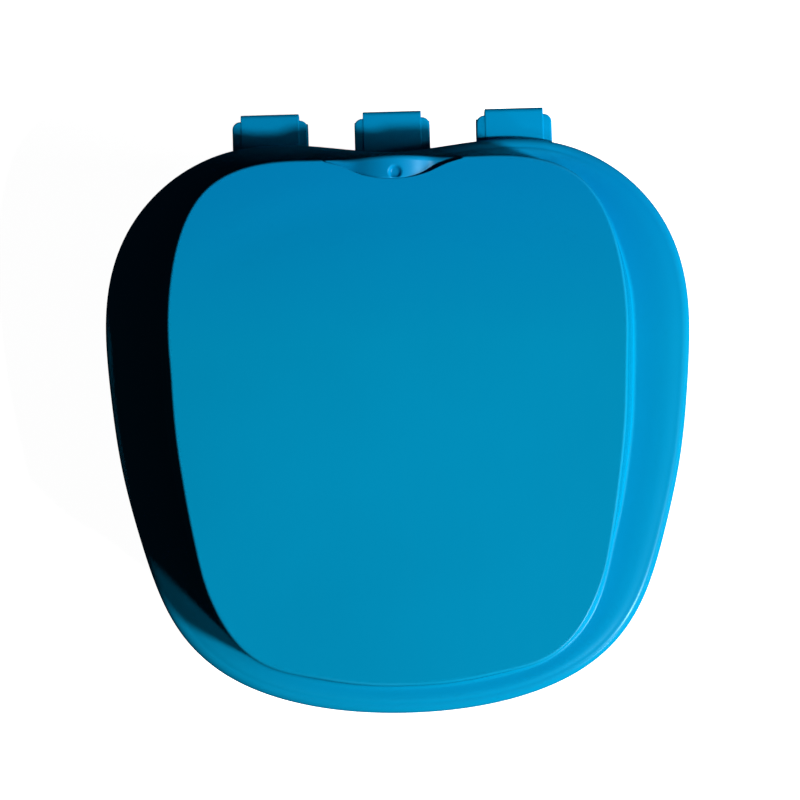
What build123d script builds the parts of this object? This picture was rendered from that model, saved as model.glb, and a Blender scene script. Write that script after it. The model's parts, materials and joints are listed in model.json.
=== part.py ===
from build123d import *
import math
import os

# Denture case: a deep base and a domed lid, joined at the back by three coaxial pin hinges.
# Frame: millimetres, +Z up, hinge towards +Y, origin on the resting face under the centre
# from which the outlines are measured.

# ---------------------------------------------------------------- driving dimensions
Z_PARTING = 23.0          # the base's rim face, on which the lid's skirt rests
Z_EDGE = 25.8             # where the lid's vertical skirt rolls over into its brim
Z_BRIM = 26.95            # brim at the end of the roll
Z_FOOT = 27.0             # brim at the foot of the raised part's wall
Z_PANEL = 40.0            # flat top of the lid
WALL = 1.6                # wall of both mouldings
ROLL = 1.4                # width of the rolled edge

SKIRT = 1.6               # thickness of the lid's vertical skirt
FIT = 0.3                 # gap between skirt and upstand
UPSTAND = 1.2             # thickness of the base's upstand
Z_UPSTAND = 25.0          # its top
BAND_BOTTOM = 19.5        # underside of the base's rim band
BAND_IN = 3.1             # rim to the inner face of the upstand

TAB_X = (-18.65, 0.0, 18.65)     # hinge centres
TAB_NAMES = ("left", "middle", "right")
TAB_ROOT_Y = (42.65, 41.6, 42.65)  # where each lid tab starts, inside the skirt
EAR_ROOT_Y = (42.3, 41.2, 42.3)  # where each pair of ears starts, inside the band
PIVOT_Y = 46.1
PIVOT_Z = 21.85
PIN_R = 0.75
BORE_R = 0.80
EAR_R = 1.5
EAR_IN = 4.6              # half the gap between a pair of ears
EAR_OUT = 5.75            # half the width over a pair of ears
KNUCKLE_HALF = 4.45
KNUCKLE_REAR = 2.75       # knuckle's rear face from the pivot
TAB_TOP = 24.6            # top face of the knuckle
TAB_UNDER = 23.5          # underside of the tab plate
SHOULDER_TOP = 24.5       # top of the tab's two shoulders
SHOULDER_REAR = 47.8      # rear edge of the shoulders
SWEEP_R = 3.65            # room that the turning knuckle needs

NOTCH_FRONT = 36.2        # front of the notch in the panel
NOTCH_BACK = 39.65        # back edge of the boss in the notch
NOTCH_FLOOR = 38.45       # floor of the notch beside the boss
BOSS_R = 12.5             # radius of the arched boss
BOSS_RISE = 0.2           # its slope, rising to the back
DIMPLE = (0.25, 37.15)    # centre of the gate dimple
DIMPLE_R = 1.05
DIMPLE_DEPTH = 0.55

# Distances of three outlines from the origin, every 7.5 degrees from the back (+Y) to the front
# (-Y); both sides are alike. RIM is the outside of both mouldings, FOOT the foot of the raised
# part's wall on the brim, TOP the edge of the flat panel.
STEP = 7.5
RIM = [42.34, 43.08, 44.98, 47.43, 49.67, 51.10, 51.60, 51.18, 49.82, 47.79, 45.65, 43.98, 42.97,
       42.45, 42.32, 42.68, 43.57, 44.66, 45.36, 45.36, 44.79, 44.01, 43.31, 42.83, 42.66]
FOOT = [40.45, 40.75, 41.90, 44.20, 46.60, 47.05, 45.55, 43.40, 41.25, 39.00, 37.18, 35.95, 35.28,
        34.97, 35.10, 35.67, 36.65, 38.35, 40.13, 41.20, 41.25, 40.45, 39.75, 39.34, 39.16]
TOP = [39.22, 39.40, 40.22, 42.05, 43.90, 44.60, 43.25, 40.85, 38.40, 36.22, 34.40, 33.30, 32.72,
       32.54, 32.78, 33.52, 34.77, 36.55, 38.30, 39.70, 39.95, 39.00, 38.30, 37.95, 37.77]


def radii(r, inset):
    """The outline r moved in by inset."""
    n = len(r)
    moved = []
    for i in range(n):
        before, after = r[abs(i - 1)], r[n - 2 if i == n - 1 else i + 1]
        slope = (after - before) / (2 * math.radians(STEP))
        moved.append(r[i] - inset * math.sqrt(1 + (slope / r[i]) ** 2))
    return moved


def outline(t, inset):
    """Points of an outline, moved in by inset: RIM at t = 0, FOOT at 1, TOP at 2; for t between
    0 and 1 a line on the brim, t of the way from the roll to the foot."""
    if t in (0, 1, 2):
        rr = radii((RIM, FOOT, TOP)[t], inset)
    else:
        rr = [a + (b - a) * t for a, b in zip(radii(RIM, ROLL), FOOT)]
    pts = []
    for i, r in enumerate(rr):
        a = math.radians(STEP * i)
        pts.append((r * math.sin(a), r * math.cos(a)))
    return pts + [(-x, y) for x, y in reversed(pts[1:-1])]


# outer skin of the lid, as (z, t, inset)
LID_OUT = [
    (Z_PARTING, 0, 0), (Z_EDGE, 0, 0),
    # rolled edge
    (Z_EDGE + 0.30, 0, 0.05), (Z_EDGE + 0.575, 0, 0.19), (Z_EDGE + 0.81, 0, 0.41),
    (Z_EDGE + 1.00, 0, 0.70), (Z_EDGE + 1.11, 0, 1.04), (Z_BRIM, 0, ROLL),
    # brim
    (Z_BRIM + 0.16, 0.25, 0), (Z_BRIM + 0.17, 0.5, 0), (Z_BRIM + 0.11, 0.75, 0), (Z_FOOT, 1, 0),
    # fillet at the foot, and the steep wall
    (Z_FOOT + 0.06, 1, 0.22), (Z_FOOT + 0.22, 1, 0.42), (Z_FOOT + 0.42, 1, 0.53),
    (Z_FOOT + 0.70, 1, 0.60), (Z_PANEL - 0.55, 2, -0.45),
    # rounded edge of the panel
    (Z_PANEL - 0.32, 2, -0.41), (Z_PANEL - 0.14, 2, -0.28), (Z_PANEL - 0.04, 2, -0.13),
    (Z_PANEL, 2, 0.05),
]

# its inner skin
LID_IN = [
    (Z_PARTING, 0, SKIRT), (25.2, 0, SKIRT), (25.4, 0, 2.05), (25.5, 1, 0.6), (25.8, 1, 1.45),
    (26.5, 1, 2.0), (27.8, 1, 2.2), (37.9, 2, 1.15), (38.25, 2, 1.4), (Z_PANEL - WALL, 2, 2.1),
]

# outer and inner skins of the base, from the rim down
BASE_OUT = [(Z_PARTING, 0, 0), (BAND_BOTTOM, 0, 0), (BAND_BOTTOM - 0.6, 0, 0.9), (13.0, 0, 1.9),
            (6.5, 0, 3.3), (3.4, 0, 4.5), (1.7, 0, 5.7), (0.6, 0, 7.1), (0.0, 0, 8.8)]
BASE_IN = [(Z_PARTING, 0, BAND_IN), (13.0, 0, 3.7), (6.5, 0, 5.0), (4.2, 0, 6.0), (2.6, 0, 7.4),
           (WALL, 0, 9.6)]

# the notch's front edge in the panel, from the middle to the right end
NOTCH = [(0.0, NOTCH_FRONT), (2.5, 36.4), (5.0, 37.0), (6.6, 37.7), (7.9, 38.25), (10.3, 39.0)]
NOTCH_LINE = [(-x, y) for x, y in reversed(NOTCH[1:])] + NOTCH

os.makedirs("parts", exist_ok=True)

# the arched cylinder whose upper side is the boss's face; its top line meets the panel's plane
# at the front of the notch
boss_tilt = math.degrees(math.atan(BOSS_RISE))
boss_axis = Plane(
    origin=(0, NOTCH_FRONT, Z_PANEL - BOSS_R / math.cos(math.atan(BOSS_RISE))),
    x_dir=(1, 0, 0),
    z_dir=(0, math.cos(math.radians(boss_tilt)), math.sin(math.radians(boss_tilt))),
)

# the space over the boss and under it, used to cut the notch and to core the boss
with BuildPart() as boss:
    with BuildSketch(Plane.XY.offset(34.9)):
        with BuildLine():
            Spline(*NOTCH_LINE)
            ThreePointArc((10.3, 39.0), (0, NOTCH_BACK), (-10.3, 39.0))
        make_face()
    extrude(amount=7.0)
    with BuildSketch(boss_axis):
        Circle(BOSS_R)
    extrude(amount=12.0, both=True, mode=Mode.INTERSECT)
    crest = boss.edges().filter_by(lambda e: e.center().Y > 38.9 and e.center().Z > 39.0 and e.length > 15)
    fillet(crest, 0.7)

# ---------------------------------------------------------------- lid
with BuildPart() as lid:
    for z, t, inset in LID_OUT:
        with BuildSketch(Plane.XY.offset(z)):
            with BuildLine():
                Spline(*outline(t, inset), periodic=True)
            make_face()
    loft(ruled=True)
    # hollow
    for z, t, inset in LID_IN:
        with BuildSketch(Plane.XY.offset(z)):
            with BuildLine():
                Spline(*outline(t, inset), periodic=True)
            make_face()
    loft(ruled=True, mode=Mode.SUBTRACT)
    # thickening under the notch
    with BuildSketch(Plane.XY.offset(34.9)):
        with BuildLine():
            l1 = Polyline((-11.8, 38.6), (-9.0, 35.9), (-4.5, 34.1), (4.5, 34.1), (9.0, 35.9), (11.8, 38.6))
            Line(l1 @ 1, l1 @ 0)
        make_face()
    extrude(amount=Z_PANEL - WALL / 2 - 34.9)
    # notch in the panel, open to the back
    with BuildSketch(Plane.XY.offset(NOTCH_FLOOR)):
        with BuildLine():
            Spline(*NOTCH_LINE)
            Polyline((10.3, 39.0), (10.3, 44.0), (-10.3, 44.0), (-10.3, 39.0))
        make_face()
    extrude(amount=3.5, mode=Mode.SUBTRACT)
    # boss in the notch
    add(boss.part)
    # gate dimple
    with BuildSketch(Plane.XY.offset(Z_PANEL + 2.0)):
        with Locations(DIMPLE):
            Circle(DIMPLE_R)
    extrude(amount=-(2.0 + DIMPLE_DEPTH) + 0.42, mode=Mode.SUBTRACT)
    # hinge tabs: a plate with two shoulders, and a knuckle that reaches further back
    for x, root in zip(TAB_X, TAB_ROOT_Y):
        with BuildSketch(Plane.XY.offset(TAB_UNDER)):
            with BuildLine():
                Polyline((x - EAR_OUT, root), (x - EAR_OUT, SHOULDER_REAR), (x + EAR_OUT, SHOULDER_REAR),
                         (x + EAR_OUT, root), (x - EAR_OUT, root))
            plate = make_face()
            fillet(plate.vertices().filter_by(lambda v: v.Y > 46.0), 1.2)
        extrude(amount=SHOULDER_TOP - TAB_UNDER)
        with BuildSketch(Plane.YZ.offset(x - KNUCKLE_HALF)):
            with BuildLine():
                Polyline((root, TAB_TOP), (PIVOT_Y + KNUCKLE_REAR, TAB_TOP),
                         (PIVOT_Y + KNUCKLE_REAR, PIVOT_Z - 0.9), (PIVOT_Y, PIVOT_Z - 0.9),
                         (PIVOT_Y, TAB_UNDER), (root, TAB_UNDER), (root, TAB_TOP))
            knuckle = make_face()
            fillet(knuckle.vertices().filter_by(lambda v: v.X > 48.0 and v.Y > 24.0), 0.8)
            fillet(vertices().filter_by(lambda v: v.X > 48.0 and v.Y < 22.0), 1.3)
            with Locations((PIVOT_Y, PIVOT_Z)):
                Circle(EAR_R)
        extrude(amount=2 * KNUCKLE_HALF)
        with BuildSketch(Plane.YZ.offset(x - KNUCKLE_HALF - 0.1)):
            with Locations((PIVOT_Y, PIVOT_Z)):
                Circle(BORE_R)
        extrude(amount=2 * KNUCKLE_HALF + 0.2, mode=Mode.SUBTRACT)
lid.part.label = "lid"
export_step(lid.part, "parts/lid.step")

# ---------------------------------------------------------------- base
with BuildPart() as base:
    for z, t, inset in BASE_OUT:
        with BuildSketch(Plane.XY.offset(z)):
            with BuildLine():
                Spline(*outline(t, inset), periodic=True)
            make_face()
    loft(ruled=True)
    # upstand inside the lid's skirt, with a lead-in at its top
    for z, t, inset in [(Z_PARTING - 0.5, 0, SKIRT + FIT), (Z_UPSTAND - 0.5, 0, SKIRT + FIT),
                        (Z_UPSTAND, 0, SKIRT + FIT + 0.4)]:
        with BuildSketch(Plane.XY.offset(z)):
            with BuildLine():
                Spline(*outline(t, inset), periodic=True)
            make_face()
    loft(ruled=True)
    # hollow
    for z, t, inset in [(Z_UPSTAND + 1.0, 0, BAND_IN)] + BASE_IN:
        with BuildSketch(Plane.XY.offset(z)):
            with BuildLine():
                Spline(*outline(t, inset), periodic=True)
            make_face()
    loft(ruled=True, mode=Mode.SUBTRACT)
    # room for the turning knuckles
    for x in TAB_X:
        with BuildSketch(Plane.YZ.offset(x - EAR_IN)):
            with Locations((PIVOT_Y, PIVOT_Z)):
                Circle(SWEEP_R)
        extrude(amount=2 * EAR_IN, mode=Mode.SUBTRACT)
    # hinge ears
    for x, root in zip(TAB_X, EAR_ROOT_Y):
        for side in (-EAR_OUT, EAR_IN):
            with BuildSketch(Plane.YZ.offset(x + side)):
                with BuildLine():
                    Polyline((root, PIVOT_Z + 1.0), (PIVOT_Y, PIVOT_Z + 1.0), (PIVOT_Y, PIVOT_Z - EAR_R),
                             (root, PIVOT_Z - EAR_R), (root, PIVOT_Z + 1.0))
                make_face()
                with Locations((PIVOT_Y, PIVOT_Z)):
                    Circle(EAR_R)
                    Circle(PIN_R, mode=Mode.SUBTRACT)
            extrude(amount=EAR_OUT - EAR_IN)
    # nail notch under the lid's front edge
    with BuildSketch(Plane.XZ.offset(41.9)):
        with Locations((0, Z_PARTING)):
            Ellipse(8.0, 1.3)
    extrude(amount=2.0, mode=Mode.SUBTRACT)
base.part.label = "base"
export_step(base.part, "parts/base.step")

# ---------------------------------------------------------------- hinge pins
for x, name in zip(TAB_X, TAB_NAMES):
    with BuildPart() as pin:
        with BuildSketch(Plane.YZ.offset(x - EAR_OUT + 0.1)):
            with Locations((PIVOT_Y, PIVOT_Z)):
                Circle(PIN_R)
        extrude(amount=2 * (EAR_OUT - 0.1))
        chamfer(pin.edges(), 0.15)
    pin.part.label = "hinge_pin_" + name
    export_step(pin.part, "parts/hinge_pin_" + name + ".step")
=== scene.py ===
import json
import math

import bmesh
import bpy
import numpy as np
from mathutils import Matrix, Vector, geometry

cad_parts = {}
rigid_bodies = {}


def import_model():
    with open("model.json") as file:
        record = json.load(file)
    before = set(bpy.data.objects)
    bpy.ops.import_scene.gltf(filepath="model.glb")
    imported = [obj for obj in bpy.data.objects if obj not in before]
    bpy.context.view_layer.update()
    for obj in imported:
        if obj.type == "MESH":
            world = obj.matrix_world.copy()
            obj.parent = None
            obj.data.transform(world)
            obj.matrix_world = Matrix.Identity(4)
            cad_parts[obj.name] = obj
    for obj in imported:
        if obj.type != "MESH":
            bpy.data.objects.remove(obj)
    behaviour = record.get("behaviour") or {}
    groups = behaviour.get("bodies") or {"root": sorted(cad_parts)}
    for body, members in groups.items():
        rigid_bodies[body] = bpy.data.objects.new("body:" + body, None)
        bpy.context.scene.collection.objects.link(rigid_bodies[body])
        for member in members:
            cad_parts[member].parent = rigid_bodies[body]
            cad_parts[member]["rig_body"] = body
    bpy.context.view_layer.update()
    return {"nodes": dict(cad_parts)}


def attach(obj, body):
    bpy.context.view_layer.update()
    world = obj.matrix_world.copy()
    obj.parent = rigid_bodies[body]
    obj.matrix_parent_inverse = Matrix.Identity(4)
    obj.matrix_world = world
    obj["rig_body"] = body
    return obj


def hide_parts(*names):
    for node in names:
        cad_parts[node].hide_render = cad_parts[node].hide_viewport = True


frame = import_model()
scene = bpy.context.scene

# ---------------------------------------------------------------- dimensions, millimetres
STEP = math.radians(7.5)
RIM = [42.34, 43.08, 44.98, 47.43, 49.67, 51.10, 51.60, 51.18, 49.82, 47.79, 45.65, 43.98, 42.97,
       42.45, 42.32, 42.68, 43.57, 44.66, 45.36, 45.36, 44.79, 44.01, 43.31, 42.83, 42.66]
FOOT = [40.45, 40.75, 41.90, 44.20, 46.60, 47.05, 45.55, 43.40, 41.25, 39.00, 37.18, 35.95, 35.28,
        34.97, 35.10, 35.67, 36.65, 38.35, 40.13, 41.20, 41.25, 40.45, 39.75, 39.34, 39.16]
TOP = [39.22, 39.40, 40.22, 42.05, 43.90, 44.60, 43.25, 40.85, 38.40, 36.22, 34.40, 33.30, 32.72,
       32.54, 32.78, 33.52, 34.77, 36.55, 38.30, 39.70, 39.95, 39.00, 38.30, 37.95, 37.77]
Z_PARTING, Z_EDGE, Z_BRIM, Z_FOOT, Z_PANEL = 23.0, 25.8, 26.95, 27.0, 40.0
Z_UPSTAND, BAND_BOTTOM, BAND_IN = 25.0, 19.5, 3.1
ROLL, ROLL_RISE, SKIRT = 1.4, 1.15, 1.6
TAB_X = (-18.65, 0.0, 18.65)
TAB_NAMES = ("left", "middle", "right")
TAB_ROOT_Y = (42.65, 41.6, 42.65)
EAR_ROOT_Y = (42.3, 41.2, 42.3)
PIVOT_Y, PIVOT_Z = 46.1, 21.85
PIN_R, BORE_R, EAR_R, EAR_IN, EAR_OUT = 0.75, 0.80, 1.5, 4.6, 5.75
KNUCKLE_HALF, KNUCKLE_REAR = 4.45, 2.75
TAB_TOP, TAB_UNDER, SHOULDER_TOP, SHOULDER_REAR = 24.6, 23.5, 24.5, 47.8
SWEEP_R = 3.65
NOTCH = [(0.0, 36.2), (2.5, 36.4), (5.0, 37.0), (6.6, 37.7), (7.9, 38.25), (10.3, 38.95)]
NOTCH_END = math.radians(14.8)
BOSS_R, BOSS_RISE, BOSS_ROLL = 12.5, 0.2, 0.7
DIMPLE, DIMPLE_R, DIMPLE_DEPTH = (0.25, 37.15), 1.05, 0.5


# ---------------------------------------------------------------- outlines
def periodic(half):
    """Radius and its slope along a closed outline given every 7.5 degrees on one side."""
    r = np.array(half + half[-2:0:-1])
    n = len(r)
    a = np.zeros((n, n))
    for i in range(n):
        a[i, i], a[i, i - 1], a[i, (i + 1) % n] = 4, 1, 1
    m = np.linalg.solve(a, 6 * (np.roll(r, -1) - 2 * r + np.roll(r, 1)) / STEP**2)

    def at(theta):
        u = (np.asarray(theta) / STEP) % n
        i = np.floor(u).astype(int) % n
        j = (i + 1) % n
        v = u - np.floor(u)
        w = 1 - v
        value = w * r[i] + v * r[j] + STEP**2 / 6 * ((w**3 - w) * m[i] + (v**3 - v) * m[j])
        slope = (r[j] - r[i]) / STEP + STEP / 6 * ((1 - 3 * w * w) * m[i] + (3 * v * v - 1) * m[j])
        return value, slope

    return at


# angles from the back (+Y) towards +X, closer together at the back where the small features are
THETA = np.radians(np.concatenate([
    np.arange(-34, -3, 0.5), np.arange(-3, 3, 0.25), np.arange(3, 34, 0.5),
    np.linspace(34, 326, 234, endpoint=False)]))
N = len(THETA)
SIN, COS = np.sin(THETA), np.cos(THETA)
TURN = np.abs((THETA + math.pi) % (2 * math.pi) - math.pi)
RIM_R, RIM_S = periodic(RIM)(THETA)
FOOT_R, FOOT_S = periodic(FOOT)(THETA)
TOP_R, TOP_S = periodic(TOP)(THETA)


def rim(inset):
    return RIM_R - inset * np.sqrt(1 + (RIM_S / RIM_R) ** 2)


def foot(inset):
    return FOOT_R - inset * np.sqrt(1 + (FOOT_S / FOOT_R) ** 2)


def crown(inset):
    return TOP_R - inset * np.sqrt(1 + (TOP_S / TOP_R) ** 2)


def smooth(points, n):
    """A curve through points, n steps between each two of them."""
    p = np.array(points, float)
    p = np.vstack([2 * p[0] - p[1], p, 2 * p[-1] - p[-2]])
    out = []
    for a, b, c, d in zip(p, p[1:], p[2:], p[3:]):
        t0, t1 = 0, np.linalg.norm(b - a) ** 0.5
        t2 = t1 + np.linalg.norm(c - b) ** 0.5
        t3 = t2 + np.linalg.norm(d - c) ** 0.5
        for t in np.linspace(t1, t2, n, endpoint=False):
            a1 = (t1 - t) / (t1 - t0) * a + (t - t0) / (t1 - t0) * b
            a2 = (t2 - t) / (t2 - t1) * b + (t - t1) / (t2 - t1) * c
            a3 = (t3 - t) / (t3 - t2) * c + (t - t2) / (t3 - t2) * d
            b1 = (t2 - t) / (t2 - t0) * a1 + (t - t0) / (t2 - t0) * a2
            b2 = (t3 - t) / (t3 - t1) * a2 + (t - t1) / (t3 - t1) * a3
            out.append((t2 - t) / (t2 - t1) * b1 + (t - t1) / (t2 - t1) * b2)
    out.append(p[-2])
    return [tuple(v) for v in out]


# ---------------------------------------------------------------- meshes
def mesh(name, verts, faces, body, wear_and_glow=None):
    """A smooth-shaded piece, given in millimetres, that moves with a body. wear_and_glow is from 0 to 1 a vertex:
    rubbed edges and a painted edge glow.
    """
    data = bpy.data.meshes.new(name)
    data.from_pydata((np.asarray(verts, float) * 0.001).tolist(), [], faces)
    data.validate()
    data.polygons.foreach_set("use_smooth", [True] * len(data.polygons))
    data.update()
    if wear_and_glow is not None:
        data.attributes.new("wear_and_glow", "FLOAT", "POINT").data.foreach_set("value", np.asarray(wear_and_glow, np.float32))
    piece = bpy.data.objects.new(name, data)
    scene.collection.objects.link(piece)
    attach(piece, body)
    return piece


def shell(name, rings, first, last, body):
    """A closed skin through rings of N points, capped at its two ends by the points first and last. Where its profile
    turns outwards most, its edges are marked as rubbed and as lit by a painted edge glow."""
    stack = np.array(rings)
    step = np.diff(stack, axis=0)
    size = np.linalg.norm(step, axis=2, keepdims=True)
    heading = step / np.maximum(size, 1e-6)
    bend = np.linalg.norm(np.diff(heading, axis=0), axis=2) / np.maximum((size[1:, :, 0] + size[:-1, :, 0]) / 2, 0.02)
    out = heading[:-1]
    radial = np.column_stack([SIN, COS])
    a = np.einsum("kij,ij->ki", out[:, :, :2], radial)
    b = np.einsum("kij,ij->ki", heading[1:, :, :2], radial)
    turn = a * heading[1:, :, 2] - out[:, :, 2] * b
    amount = np.where(turn < 0, np.clip(bend / 2.5, 0, 1), 0)
    worn_and_glowing = np.zeros(stack.shape[:2])
    worn_and_glowing[1:-1] = amount
    wear_and_glow = np.concatenate([[0], worn_and_glowing.ravel(), [0]])
    verts = [first] + [tuple(p) for r in rings for p in r] + [last]
    faces = []
    for i in range(N):
        j = (i + 1) % N
        faces.append((0, 1 + j, 1 + i))
        for k in range(len(rings) - 1):
            a, b = 1 + k * N, 1 + (k + 1) * N
            faces.append((a + i, a + j, b + j, b + i))
        a = 1 + (len(rings) - 1) * N
        faces.append((a + i, a + j, len(verts) - 1))
    return mesh(name, verts, faces, body, wear_and_glow)


def ring(r, z):
    r = np.broadcast_to(r, (N,))
    z = np.broadcast_to(z, (N,))
    return np.column_stack([r * SIN, r * COS, z])


# ---------------------------------------------------------------- lid
nx, ny = np.array(smooth([(-NOTCH[1][0], NOTCH[1][1])] + NOTCH, 12)[12:]).T
NOTCH_R = np.interp(np.minimum(TURN, NOTCH_END), np.arctan2(nx, ny), np.hypot(nx, ny))
IN_NOTCH = TURN < NOTCH_END
boss_turn = math.atan(BOSS_RISE)
BOSS_Z0 = Z_PANEL - BOSS_R / math.cos(boss_turn)


def boss(r):
    """Height of the arched boss under a point at radius r."""
    x, y = np.abs(r * SIN), r * COS - NOTCH[0][1]
    x = np.where(x > 4.5, 4.5 + 1.5 * np.tanh((x - 4.5) / 1.5), x)
    return BOSS_Z0 + (np.sqrt(np.maximum(BOSS_R**2 - x * x, 1.0)) + y * math.sin(boss_turn)) / math.cos(boss_turn)


# rounded edge of the panel: (distance out from the flat, drop)
EDGE = [(0.0, 0.0), (0.05, 0.003), (0.10, 0.012), (0.16, 0.035), (0.22, 0.07), (0.28, 0.12), (0.33, 0.18),
        (0.375, 0.255), (0.41, 0.34), (0.435, 0.44), (0.45, 0.55)]
EDGE_W, EDGE_D = np.array(EDGE).T
flat_r, edge_out = crown(0), crown(-0.45)
wall_top = Z_PANEL - 0.55
Z_WALL = Z_FOOT + 0.7


def top(r):
    """Height of the panel and its rounded edge at radius r."""
    u = np.clip((r - flat_r) / (edge_out - flat_r), 0, 1) * 0.45
    return Z_PANEL - np.interp(u, EDGE_W, EDGE_D)


def sink(r):
    """Shallow sink that follows the notch across the back of the panel."""
    x, y = r * SIN, r * COS
    middle = 32.2 - 0.010 * x * x
    return -0.09 * np.exp(-(((y - middle) / 3.4) ** 2)) * np.exp(-((x / 27.0) ** 4))


def wall(z):
    """Radius of the steep wall at height z."""
    t = (wall_top - z) / (wall_top - Z_WALL)
    return edge_out + (foot(0.6) - edge_out) * t


edge_r = np.where(IN_NOTCH, np.minimum(NOTCH_R, edge_out), edge_out)
a_r = np.where(IN_NOTCH, np.minimum(flat_r, edge_r - 0.25), flat_r)
rings = []
for f in list(np.linspace(0.06, 0.98, 26)) + [1.0]:
    r = (a_r - 0.25) * f
    rings.append(ring(r, Z_PANEL + sink(r)))
for w in EDGE_W:
    r = a_r + (edge_r - a_r) * w / 0.45
    lip = np.where(IN_NOTCH, np.clip(1 - (edge_r - r) / 0.12, 0, 1), 0)
    rings.append(ring(r, top(r) + sink(r) - 0.12 * (1 - np.sqrt(1 - lip**2))))
edge_z = rings[-1][:, 2].copy()
# down into the notch, or down the wall
back_r = edge_out + 0.02
depth = np.maximum(edge_z - boss(edge_r), 0.0)
room = np.maximum(back_r - edge_r, 0.02)
for u, step, z in ((0.35, 0.005, 39.2), (0.8, 0.012, 38.4), (0.96, 0.03, 36.8), (1.0, 0.10, 35.3)):
    r = np.where(IN_NOTCH, edge_r + np.minimum(step, 0.3 * room), wall(z))
    rings.append(ring(r, np.where(IN_NOTCH, edge_z + (boss(r) - edge_z) * u if u == 1.0 else edge_z - depth * u, z)))
start_r = edge_r + np.minimum(0.10, 0.3 * room)
roll = np.minimum(BOSS_ROLL, 0.45 * room)
for k in range(1, 15):
    r = start_r + (back_r - roll - start_r) * k / 14
    z = 35.3 - 0.4 * k / 14
    hollow = np.hypot(r * SIN - DIMPLE[0], r * COS - DIMPLE[1]) / DIMPLE_R
    hollow = np.clip((1 - hollow) / 0.45, 0, 1)
    cut = DIMPLE_DEPTH * hollow * hollow * (3 - 2 * hollow)
    rings.append(ring(np.where(IN_NOTCH, r, wall(z)), np.where(IN_NOTCH, boss(r) - cut, z)))
for k in range(1, 7):
    a = math.radians(15 * k)
    r = back_r - roll + roll * math.sin(a)
    z = 34.9 - 0.4 * k / 6
    rings.append(ring(np.where(IN_NOTCH, r, wall(z)), np.where(IN_NOTCH, boss(back_r - roll) - roll * (1 - math.cos(a)), z)))
# steep wall and its foot
for z in (34.0, 32.0, 30.2, 28.7, 28.1, Z_WALL):
    rings.append(ring(wall(z), z))
for a in range(15, 91, 15):
    a = math.radians(a)
    rings.append(ring(foot(0.6 * math.cos(a)), Z_WALL - (Z_WALL - Z_FOOT) * math.sin(a)))
# brim
inner, outer = foot(0), rim(ROLL)
BRIM_T, BRIM_Z = np.array(smooth([(0.0, Z_FOOT), (0.15, 27.03), (0.3, 27.07), (0.45, 27.11), (0.6, 27.125),
                                  (0.75, 27.11), (0.88, 27.04), (1.0, Z_BRIM)], 6)).T
for t in [0.03, 0.08] + list(np.linspace(0, 1, 15)[2:-1]):
    rings.append(ring(inner + (outer - inner) * t, float(np.interp(t, BRIM_T, BRIM_Z))))
# rolled edge and skirt
for a in np.linspace(90, 0, 13):
    a = math.radians(a)
    rings.append(ring(rim(ROLL * (1 - math.cos(a))), Z_EDGE + ROLL_RISE * math.sin(a)))
for z, inset in ((25.3, 0), (24.2, 0), (23.3, 0), (23.12, 0), (23.035, 0.035), (23.0, 0.12), (23.0, 0.4),
                 (23.0, 1.3), (23.0, 1.5), (23.03, 1.57), (23.1, SKIRT), (23.4, SKIRT), (24.9, SKIRT),
                 (25.15, 1.63), (25.29, 1.75), (25.38, 1.95)):
    rings.append(ring(rim(inset), z))
# inner skin
low, high = rim(2.1), foot(0.6)
for t in (0.0, 0.2, 0.4, 0.6, 0.8):
    rings.append(ring(low + (high - low) * t, 25.41 + 0.09 * t**0.7))
for z, inset in smooth([(25.5, 0.6), (25.8, 1.45), (26.5, 2.0), (27.8, 2.2)], 3):
    rings.append(ring(foot(inset), z))


def inside(z):
    t = (37.9 - z) / (37.9 - 27.8)
    return crown(1.15) + (foot(2.2) - crown(1.15)) * t


for z in (30.0, 32.0, 33.8, 34.7):
    rings.append(ring(inside(z), z))
pad_r = np.interp(np.degrees(TURN), [0, 7.5, 14.07, 17.0], [34.1, 34.4, 37.0, 40.4])
in_r = inside(34.9)
padded = (TURN < math.radians(17.0)) & (pad_r < in_r - 0.4)
pads = [(0.1, 34.9), (0.5, 34.9), (0.9, 34.9), (0.99, 34.98), (1.0, 35.2), (1.0, 37.9), (1.02, 38.25), (1.1, 38.4)]
skins = [(35.3, None), (36.3, None), (37.4, None), (37.9, 1.15), (38.12, 1.27), (38.28, 1.46), (38.37, 1.75), (38.4, 2.1)]
for (t, pad_z), (z, inset) in zip(pads, skins):
    rings.append(ring(np.where(padded, in_r + (pad_r - in_r) * t, inside(z) if inset is None else crown(inset)),
                      np.where(padded, pad_z, z)))
last_r = np.where(padded, in_r + (pad_r - in_r) * 1.1, crown(2.1))
for f in (0.97, 0.8, 0.6, 0.4, 0.2):
    rings.append(ring(last_r * f, 38.4))
lid = shell("lid_shell", rings, (0, 0, Z_PANEL), (0, 0, 38.4), "lid")
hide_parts("lid")


def arc(y, z, r, start, end, n):
    return [(y + r * math.cos(math.radians(a)), z + r * math.sin(math.radians(a))) for a in np.linspace(start, end, n)]


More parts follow.
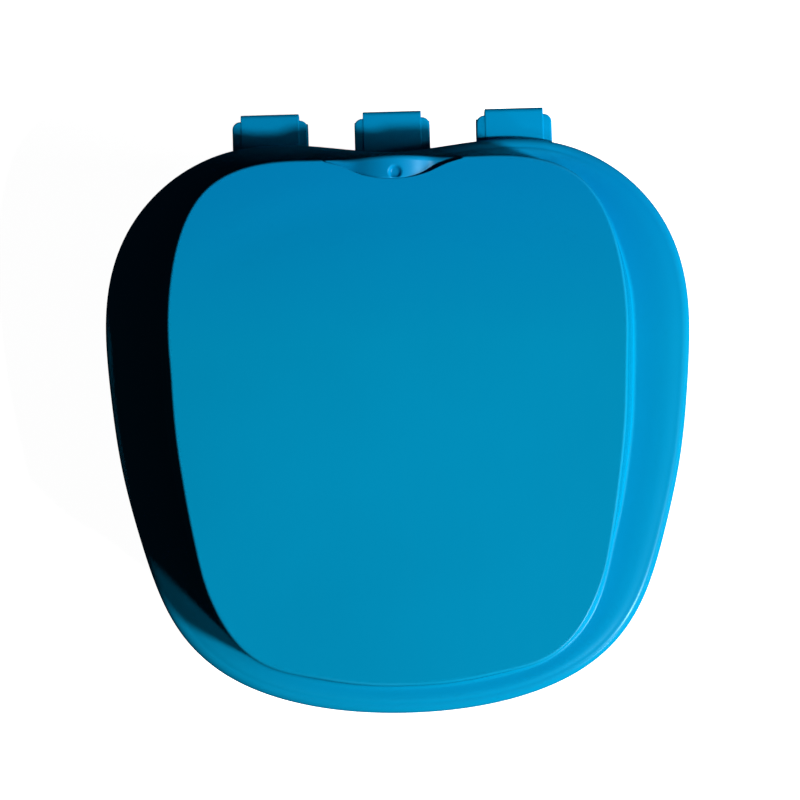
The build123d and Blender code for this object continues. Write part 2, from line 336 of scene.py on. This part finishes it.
def slab(name, outer, hole, low, high, ease, place, body):
    """An extruded profile with eased edges and an optional round hole. place turns (u, v, w) into (x, y, z)."""
    p = np.array(outer, float)
    if np.sum(p[:, 0] * np.roll(p[:, 1], -1) - np.roll(p[:, 0], -1) * p[:, 1]) < 0:
        p = p[::-1]
    before, after = p - np.roll(p, 1, 0), np.roll(p, -1, 0) - p
    before /= np.linalg.norm(before, axis=1)[:, None]
    after /= np.linalg.norm(after, axis=1)[:, None]
    n0 = np.column_stack([-before[:, 1], before[:, 0]])
    n1 = np.column_stack([-after[:, 1], after[:, 0]])
    inward = (n0 + n1) / np.maximum(1 + np.sum(n0 * n1, 1), 0.3)[:, None]
    bends = [math.radians(a) for a in (0, 22.5, 45, 67.5, 90)]
    cuts = [(low + ease * (1 - math.cos(b)), ease * (1 - math.sin(b))) for b in bends]
    cuts += [(low + 2.2 * ease, 0.0), (high - 2.2 * ease, 0.0)]
    cuts += [(high - ease * (1 - math.cos(b)), ease * (1 - math.sin(b))) for b in bends[::-1]]
    verts, faces, wear_and_glow, m = [], [], [], len(p)
    for w, inset in cuts:
        verts += [place(u, v, w) for u, v in p + inward * inset]
        # Eased edges are marked as rubbed and as lit by a painted edge glow.
        wear_and_glow += [0.8 if 0 < inset < ease else 0.0] * m
    for k in range(len(cuts) - 1):
        for i in range(m):
            j = (i + 1) % m
            faces.append((k * m + i, k * m + j, (k + 1) * m + j, (k + 1) * m + i))
    ends = [(0, cuts[0]), ((len(cuts) - 1) * m, cuts[-1])]
    if hole:
        (cu, cv), cr = hole
        q = [(cu + cr * math.cos(2 * math.pi * i / 28), cv + cr * math.sin(2 * math.pi * i / 28)) for i in range(28)]
        base = len(verts)
        for w, _ in (cuts[0], cuts[-1]):
            verts += [place(u, v, w) for u, v in q]
            wear_and_glow += [0.0] * 28
        for i in range(28):
            j = (i + 1) % 28
            faces.append((base + i, base + 28 + i, base + 28 + j, base + j))
    for side, (at, (w, inset)) in enumerate(ends):
        loop = [Vector((u, v, 0)) for u, v in p + inward * inset]
        index = list(range(at, at + m))
        loops = [loop]
        if hole:
            loops.append([Vector((u, v, 0)) for u, v in q])
            index += list(range(base + 28 * side, base + 28 * side + 28))
        for t in geometry.tessellate_polygon(loops):
            faces.append(tuple(index[i] for i in t))
    piece = mesh(name, verts, faces, body, wear_and_glow)
    bm = bmesh.new()
    bm.from_mesh(piece.data)
    bmesh.ops.recalc_face_normals(bm, faces=bm.faces)
    for f in bm.faces:
        f.smooth = True
    for e in bm.edges:
        e.smooth = len(e.link_faces) != 2 or e.calc_face_angle(0) < math.radians(32)
    bm.to_mesh(piece.data)
    bm.free()
    return piece


def across(u, v, w):
    return (w, u, v)


def flat(u, v, w):
    return (u, v, w)


pieces = [lid]
for x, name, root in zip(TAB_X, TAB_NAMES, TAB_ROOT_Y):
    r = 1.2
    plate = [(x - EAR_OUT, root)] + arc(x - EAR_OUT + r, SHOULDER_REAR - r, r, 180, 90, 8)
    plate += arc(x + EAR_OUT - r, SHOULDER_REAR - r, r, 90, 0, 8) + [(x + EAR_OUT, root)]
    pieces.append(slab("lid_tab_" + name, plate, None, TAB_UNDER, SHOULDER_TOP, 0.28, flat, "lid"))
    back = PIVOT_Y + KNUCKLE_REAR
    profile = [(root, TAB_TOP)] + arc(back - 0.8, TAB_TOP - 0.8, 0.8, 90, 0, 6)
    profile += arc(back - 1.3, PIVOT_Z + 0.4, 1.3, 0, -90, 8) + arc(PIVOT_Y, PIVOT_Z, EAR_R, -37, -180, 14)
    profile += [(PIVOT_Y - EAR_R, TAB_UNDER - 0.05), (root, TAB_UNDER - 0.05)]
    pieces.append(slab("lid_knuckle_" + name, profile, ((PIVOT_Y, PIVOT_Z), BORE_R),
                       x - KNUCKLE_HALF, x + KNUCKLE_HALF, 0.12, across, "lid"))

# ---------------------------------------------------------------- base
SCOOP_X, SCOOP_Z, SCOOP_Y = 8.0, 1.3, 0.76


def tub(inset, z):
    """A ring of the base's outside, with the knuckles' rooms at the back and the nail scoop in front."""
    r = rim(inset)
    for x in TAB_X:
        reach = SWEEP_R**2 - (z - PIVOT_Z) ** 2
        if reach > 0:
            limit = PIVOT_Y - math.sqrt(reach)
            r = np.where((np.abs(r * SIN - x) < EAR_IN) & (COS > 0.5), np.minimum(r, limit / np.maximum(COS, 0.5)), r)
    u = 1 - (RIM_R * SIN / SCOOP_X) ** 2 - ((Z_PARTING - z) / SCOOP_Z) ** 2
    u = np.where(COS < 0, np.clip(u / 0.35, 0, 1), 0)
    return r - SCOOP_Y * u * u * (3 - 2 * u)


rings = [ring(rim(8.8) * f, 0.0) for f in (0.15, 0.3, 0.45, 0.6, 0.75, 0.9, 0.97)]
for z, inset in smooth([(0.0, 8.8), (0.6, 7.1), (1.7, 5.7), (3.4, 4.5), (6.5, 3.3), (13.0, 1.9), (18.6, 0.95)], 4):
    rings.append(ring(tub(inset, z), z))
for z, inset in ((18.85, 0.86), (19.05, 0.62), (19.25, 0.34), (19.42, 0.12), (19.6, 0.02), (19.8, 0.0), (20.3, 0), (20.9, 0),
                 (21.3, 0), (21.55, 0), (21.7, 0), (21.85, 0), (22.0, 0), (22.15, 0), (22.3, 0), (22.45, 0), (22.6, 0),
                 (22.75, 0), (22.87, 0), (22.96, 0.04), (23.0, 0.13)):
    rings.append(ring(tub(inset, z), z))
for z, inset in ((23.0, 0.9), (23.0, 1.7), (23.03, 1.84), (23.12, 1.9), (23.4, 1.9), (24.3, 1.9), (24.5, 1.92),
                 (24.72, 2.05), (24.9, 2.22), (25.0, 2.42), (25.0, 2.9), (24.96, 3.05), (24.85, BAND_IN), (24.5, BAND_IN),
                 (23.0, BAND_IN), (20.0, 3.28), (16.5, 3.48)):
    rings.append(ring(rim(inset), z))
for z, inset in smooth([(13.0, 3.7), (6.5, 5.0), (4.2, 6.0), (2.6, 7.4), (1.6, 9.6)], 4):
    rings.append(ring(rim(inset), z))
for f in (0.97, 0.85, 0.7, 0.55, 0.4, 0.25, 0.1):
    rings.append(ring(rim(9.6) * f, 1.6))
base = shell("base_shell", rings, (0, 0, 0), (0, 0, 1.6), "base")
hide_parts("base")
base.data.flip_normals()
pieces.append(base)
for x, name, root in zip(TAB_X, TAB_NAMES, EAR_ROOT_Y):
    for side, lo, hi in (("l", x - EAR_OUT, x - EAR_IN), ("r", x + EAR_IN, x + EAR_OUT)):
        profile = [(root, PIVOT_Z + 1.0)] + arc(PIVOT_Y, PIVOT_Z, EAR_R, 138, -90, 18) + [(root, PIVOT_Z - EAR_R)]
        pieces.append(slab("ear_" + name + "_" + side, profile, ((PIVOT_Y, PIVOT_Z), PIN_R + 0.005), lo, hi, 0.12, across, "base"))

# ---------------------------------------------------------------- plastic
def plastic(name, seed, scale=1.0):
    """Glossy blue polypropylene: tone that drifts at random, painted shade darkening it towards the back, painted
    light lifting the tabs, edges rubbed pale and lightened as a painted edge glow, fine scratches, moulding texture.
    """
    mat = bpy.data.materials.new(name)
    mat.use_nodes = True
    nodes, links = mat.node_tree.nodes, mat.node_tree.links
    shader = nodes["Principled BSDF"]
    where = nodes.new("ShaderNodeTexCoord")
    shift = nodes.new("ShaderNodeMapping")
    shift.inputs["Location"].default_value = (seed * 0.37, seed * 0.21, seed * 0.13)
    links.new(where.outputs["Object"], shift.inputs["Vector"])

    def noise(size, detail, stretch=None):
        n = nodes.new("ShaderNodeTexNoise")
        n.inputs["Scale"].default_value = size
        n.inputs["Detail"].default_value = detail
        source = shift
        if stretch:
            source = nodes.new("ShaderNodeMapping")
            source.inputs["Rotation"].default_value = stretch[0]
            source.inputs["Scale"].default_value = stretch[1]
            links.new(shift.outputs["Vector"], source.inputs["Vector"])
        links.new(source.outputs["Vector"], n.inputs["Vector"])
        return n.outputs["Fac"]

    def spread(value, a, b, lo, hi):
        m = nodes.new("ShaderNodeMapRange")
        m.clamp = True
        m.inputs["From Min"].default_value, m.inputs["From Max"].default_value = a, b
        m.inputs["To Min"].default_value, m.inputs["To Max"].default_value = lo, hi
        links.new(value, m.inputs["Value"])
        return m.outputs["Result"]

    def mix(fac, a, b):
        m = nodes.new("ShaderNodeMix")
        m.data_type = "RGBA"
        links.new(fac, m.inputs["Factor"])
        for socket, value in ((m.inputs["A"], a), (m.inputs["B"], b)):
            if isinstance(value, tuple):
                socket.default_value = value
            else:
                links.new(value, socket)
        return m.outputs["Result"]

    pigment = mix(spread(noise(28, 3), 0.35, 0.65, 0, 1), (0.0, 0.240, 0.440, 1), (0.0, 0.252, 0.462, 1))
    split = nodes.new("ShaderNodeSeparateXYZ")
    links.new(where.outputs["Object"], split.inputs["Vector"])
    # Painted shade: from Y 12 to 36 mm the colour darkens towards the back, standing in for the light falling off
    # there.
    back_painted_shade = spread(split.outputs["Y"], 0.012, 0.036, 0, 1)
    # Painted light: beyond Y 40.5 mm (tabs, knuckles, back rim) the colour is lifted to a paler blue, standing in for
    # the light they catch.
    tab_painted_light = spread(split.outputs["Y"], 0.0405, 0.043, 0, 1)
    pigment = mix(tab_painted_light, mix(back_painted_shade, pigment, (0.0, 0.208, 0.452, 1)), (0.0, 0.28, 0.58, 1))
    # Rubbed edges and painted edge glow: the marked convex edges are lightened patchily towards a paler blue.
    edge = nodes.new("ShaderNodeAttribute")
    edge.attribute_name = "wear_and_glow"
    patchy = nodes.new("ShaderNodeMath")
    patchy.operation = "MULTIPLY"
    links.new(edge.outputs["Fac"], patchy.inputs[0])
    links.new(spread(noise(90, 4), 0.35, 0.65, 0.03, 0.12), patchy.inputs[1])
    colour = mix(patchy.outputs["Value"], pigment, (0.03, 0.37, 0.62, 1))
    links.new(colour, shader.inputs["Base Color"])
    scratches = noise(900, 2, ((0.2, 0.1, 0.6), (1, 0.05, 1)))
    rough = spread(scratches, 0.35, 0.75, 0.24, 0.27)
    links.new(rough, shader.inputs["Roughness"])
    peel = nodes.new("ShaderNodeBump")
    peel.inputs["Strength"].default_value = 0.15
    peel.inputs["Distance"].default_value = 0.00003
    links.new(noise(420, 3), peel.inputs["Height"])
    links.new(peel.outputs["Normal"], shader.inputs["Normal"])
    shader.inputs["IOR"].default_value = 1.49
    shader.inputs["Specular IOR Level"].default_value = 0.22
    shader.inputs["Specular Tint"].default_value = (0.45, 0.8, 1.0, 1)
    return mat


lid_plastic, base_plastic = plastic("blue_plastic_lid", 1), plastic("blue_plastic_base", 2)
for p in pieces:
    p.data.materials.clear()
    p.data.materials.append(lid_plastic if p["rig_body"] == "lid" else base_plastic)
pin_plastic = plastic("blue_plastic_pin", 3)
for name in TAB_NAMES:
    pin = frame["nodes"]["hinge_pin_" + name]
    for s in pin.material_slots:
        s.link = "OBJECT"
        s.material = pin_plastic

# ---------------------------------------------------------------- floor, light, camera
me = bpy.data.meshes.new("floor")
me.from_pydata([(-3, -3, -0.00003), (3, -3, -0.00003), (3, 3, -0.00003), (-3, 3, -0.00003)], [], [(0, 1, 2, 3)])
floor = bpy.data.objects.new("floor", me)
scene.collection.objects.link(floor)
paper = bpy.data.materials.new("floor")
paper.use_nodes = True
shader = paper.node_tree.nodes["Principled BSDF"]
shader.inputs["Base Color"].default_value = (0.86, 0.87, 0.88, 1)
shader.inputs["Roughness"].default_value = 0.9
shader.inputs["Specular IOR Level"].default_value = 0.0
shader.inputs["Emission Color"].default_value = (1, 1, 1, 1)
shader.inputs["Emission Strength"].default_value = 0.98
me.materials.append(paper)
floor.visible_glossy = False
floor.visible_diffuse = False


def area(name, az, el, dist, size, power, colour=(1, 1, 1)):
    data = bpy.data.lights.new(name, "AREA")
    data.shape = "DISK"
    data.size = size
    data.energy = power
    data.color = colour
    light = bpy.data.objects.new(name, data)
    a, e = math.radians(az), math.radians(el)
    aim = Vector((0, 0, 0.02))
    light.location = aim + Vector((math.cos(e) * math.cos(a), math.cos(e) * math.sin(a), math.sin(e))) * dist
    light.rotation_euler = (aim - light.location).to_track_quat("-Z", "Y").to_euler()
    scene.collection.objects.link(light)
    return light


area("key", -29, 49, 1.2, 0.10, 13.0)
area("low", -46, 30, 1.2, 0.08, 3.0)
area("side", -13, 15, 1.1, 0.50, 13.0).visible_glossy = False
world = bpy.data.worlds.new("studio")
scene.world = world
world.use_nodes = True
world.node_tree.nodes["Background"].inputs["Color"].default_value = (0.9, 0.95, 1, 1)
world.node_tree.nodes["Background"].inputs["Strength"].default_value = 0.008

# 86 degrees above the front, turned a little so that the hinge side leans to the left
Z_RIM, DIST, ELEV, TILT = 0.0266, 0.440, math.radians(86.0), math.radians(1.6)
target = Vector((0.00005, 0.0044, Z_RIM))
view_dir = Vector((0.0, math.cos(ELEV), -math.sin(ELEV)))
cam_data = bpy.data.cameras.new("camera")
cam_data.sensor_width = 36.0
cam_data.sensor_fit = "HORIZONTAL"
cam_data.lens = 36.0 * DIST / (800.0 / 6623.0)
cam_data.clip_start, cam_data.clip_end = 0.01, 20.0
cam = bpy.data.objects.new("camera", cam_data)
scene.collection.objects.link(cam)
turn = Matrix.Rotation(-TILT, 4, view_dir * -1.0)
cam.matrix_world = Matrix.Translation(target - view_dir * DIST) @ turn @ view_dir.to_track_quat("-Z", "Y").to_matrix().to_4x4()
scene.camera = cam
scene.view_settings.view_transform = "Standard"
scene.view_settings.look = "None"
